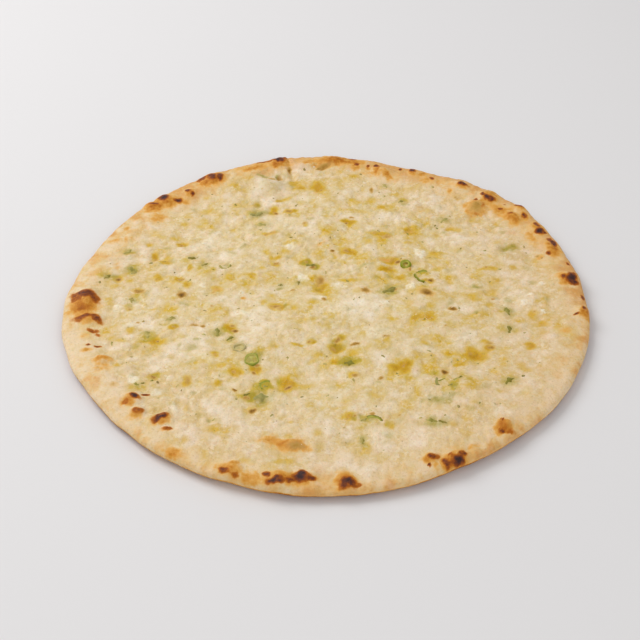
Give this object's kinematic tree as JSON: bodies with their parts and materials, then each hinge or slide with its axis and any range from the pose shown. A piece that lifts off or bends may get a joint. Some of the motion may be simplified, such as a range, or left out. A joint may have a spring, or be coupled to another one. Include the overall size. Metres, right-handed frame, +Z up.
{
  "type": "naan bread",
  "caption": "Round flat naan bread with a blistered, scorched rim and a lumpy baked top of melted cheese and garlic, strewn with spring onion and chopped herbs.",
  "frame": {"origin": "middle of the flat underside, on the surface that the bread lies on, at the centre of its outline's box", "axes": "+Z up out of the topped side, through the bread's thickness; -Y is the side nearest to the viewer and +X their right"},
  "size_m": [0.2694, 0.2654, 0.0111],
  "materials": {
    "bread": "baked dough under melted cheese, golden at the rim, with scorched blisters, oil and chopped herbs"
  },
  "bodies": {
    "root": {"naan": "bread"}
  },
  "joints": []
}
